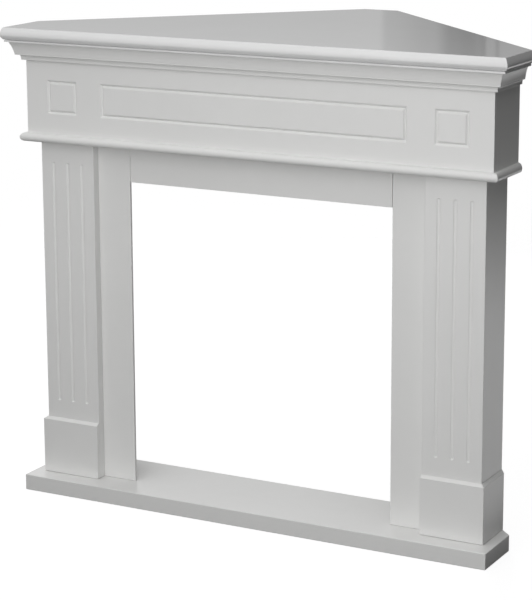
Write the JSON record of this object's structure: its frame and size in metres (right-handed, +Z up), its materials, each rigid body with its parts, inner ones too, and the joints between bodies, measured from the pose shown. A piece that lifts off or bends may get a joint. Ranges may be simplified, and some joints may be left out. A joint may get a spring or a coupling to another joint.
{
  "type": "corner fireplace mantelpiece",
  "caption": "Free-standing corner fireplace surround in white painted board, with a moulded shelf, grooved frieze, fluted legs on plinths, and an opening for an electric fire.",
  "frame": {"origin": "middle of the bounding box, at floor level", "axes": "+X to the right along the front, +Y back into the corner of the room, +Z up"},
  "size_m": [1.13, 0.655, 1],
  "materials": {
    "shelf_paint": "white semi-gloss paint on fibreboard",
    "moulding_paint": "white satin paint on fibreboard moulding",
    "board_paint": "white satin paint on fibreboard",
    "base_paint": "white satin paint on fibreboard"
  },
  "bodies": {
    "root": {"mantel_shelf": "shelf_paint", "crown_front": "moulding_paint", "crown_left": "moulding_paint", "crown_right": "moulding_paint", "frieze_front": "board_paint", "frieze_left_side": "board_paint", "frieze_right_side": "board_paint", "band_board": "moulding_paint", "left_leg_front": "board_paint", "right_leg_front": "board_paint", "left_leg_outer_side": "board_paint", "right_leg_outer_side": "board_paint", "left_leg_inner_side": "board_paint", "right_leg_inner_side": "board_paint", "left_plinth_front": "board_paint", "left_plinth_side": "board_paint", "right_plinth_front": "board_paint", "right_plinth_side": "board_paint", "left_slip": "board_paint", "right_slip": "board_paint", "header": "board_paint", "base_board": "base_paint"}
  },
  "joints": []
}
